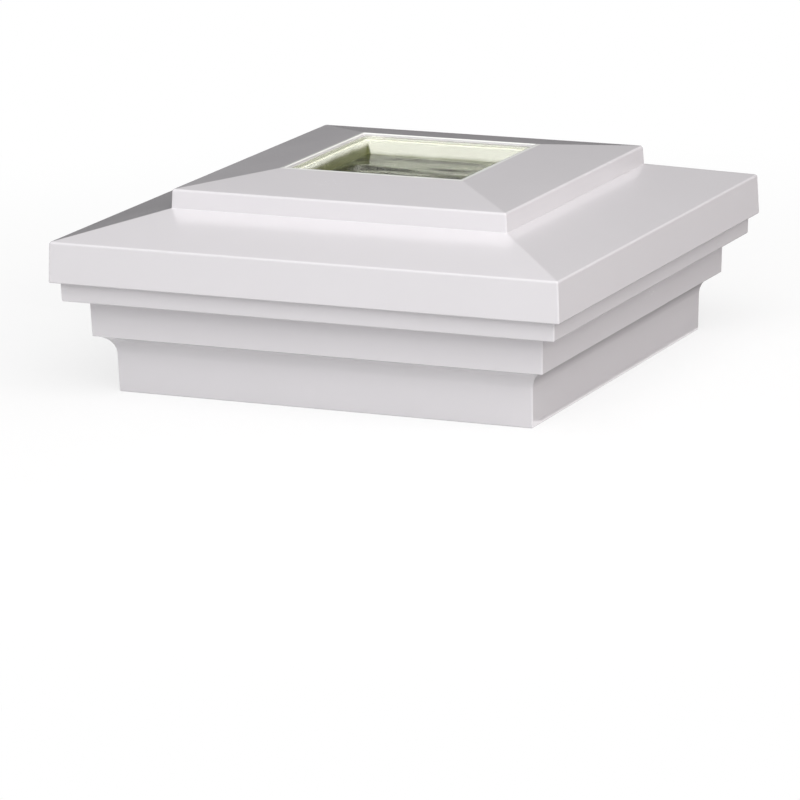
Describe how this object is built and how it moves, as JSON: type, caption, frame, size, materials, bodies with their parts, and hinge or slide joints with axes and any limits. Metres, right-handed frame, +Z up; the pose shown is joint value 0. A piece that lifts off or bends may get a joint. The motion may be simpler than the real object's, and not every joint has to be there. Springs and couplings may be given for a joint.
{
  "type": "deck post cap light",
  "caption": "Square two-tier moulded cap with a solar window on top, a stepped collar, and white lamps that shine down a post's sides.",
  "frame": {"origin": "middle of the skirt's lower rim, where the cap stands when it is off its post", "axes": "+Z up through the window; -Y is the front face, +X the right face"},
  "size_m": [0.188, 0.188, 0.073],
  "materials": {
    "white_plastic": "satin, very fine moulded texture",
    "window_glass": "clear float glass with a green edge",
    "clear_silicone": "translucent bead",
    "cream_plastic": "glossy",
    "zinc_screws": "zinc plated",
    "green_laminate": "solder mask",
    "solar_cell": "dark silicon",
    "tinned_ribbon": "tinned copper",
    "clear_resin": "slightly yellowed casting resin",
    "chassis_plastic": "fine matt",
    "black_rubber": "matt",
    "white_laminate": "white solder mask",
    "led_emitter": "phosphor under silicone",
    "opal_plastic": "milky, lit from inside",
    "cell_sleeve": "shrink sleeve",
    "nickel_contact": "nickel plated strip",
    "black_plastic": "fine matt",
    "ferrite": "bare ferrite",
    "capacitor_can": "bare can",
    "socket_plastic": "natural nylon",
    "knob_plastic": "ribbed",
    "red_insulation": "smooth insulation",
    "black_insulation": "smooth insulation"
  },
  "bodies": {
    "housing": {"roof_shell": "white_plastic", "collar": "white_plastic", "window_glass": "window_glass", "window_gasket": "clear_silicone", "solar_tray": "cream_plastic", "tray_screws": "zinc_screws", "solar_board": "green_laminate", "solar_cells": "solar_cell", "cell_ribbons": "tinned_ribbon", "panel_resin": "clear_resin", "chassis": "chassis_plastic", "post_guides": "chassis_plastic", "post_pads": "black_rubber", "corner_screws": "zinc_screws", "led_board_front": "white_laminate", "leds_front": "led_emitter", "diffuser_front": "opal_plastic", "led_board_right": "white_laminate", "leds_right": "led_emitter", "diffuser_right": "opal_plastic", "led_board_back": "white_laminate", "leds_back": "led_emitter", "diffuser_back": "opal_plastic", "led_board_left": "white_laminate", "leds_left": "led_emitter", "diffuser_left": "opal_plastic", "battery_box": "chassis_plastic", "battery_box_screws": "zinc_screws", "battery_cell_south": "cell_sleeve", "battery_cell_north": "cell_sleeve", "contact_negative": "nickel_contact", "contact_positive": "nickel_contact", "contact_bridge": "nickel_contact", "control_board": "green_laminate", "board_screws": "zinc_screws", "controller_chip": "black_plastic", "inductor": "ferrite", "capacitors": "capacitor_can", "wire_sockets": "socket_plastic", "power_switch": "black_plastic", "switch_screws": "zinc_screws", "panel_wire_red": "red_insulation", "panel_wire_black": "black_insulation", "battery_wire_red": "red_insulation", "battery_wire_black": "black_insulation", "switch_wires": "red_insulation", "led_wires_red": "red_insulation", "led_wires_black": "black_insulation"},
    "battery_cover": {"battery_cover": "chassis_plastic"},
    "switch_slider": {"switch_slider": "knob_plastic"}
  },
  "joints": [
    {"name": "battery_cover_slide", "type": "slide", "parent": "housing", "child": "battery_cover", "axis": [1, 0, 0], "range_m": [0, 0.033]},
    {"name": "switch_slide", "type": "slide", "parent": "housing", "child": "switch_slider", "axis": [0, 1, 0], "range_m": [0, 0.004]}
  ]
}
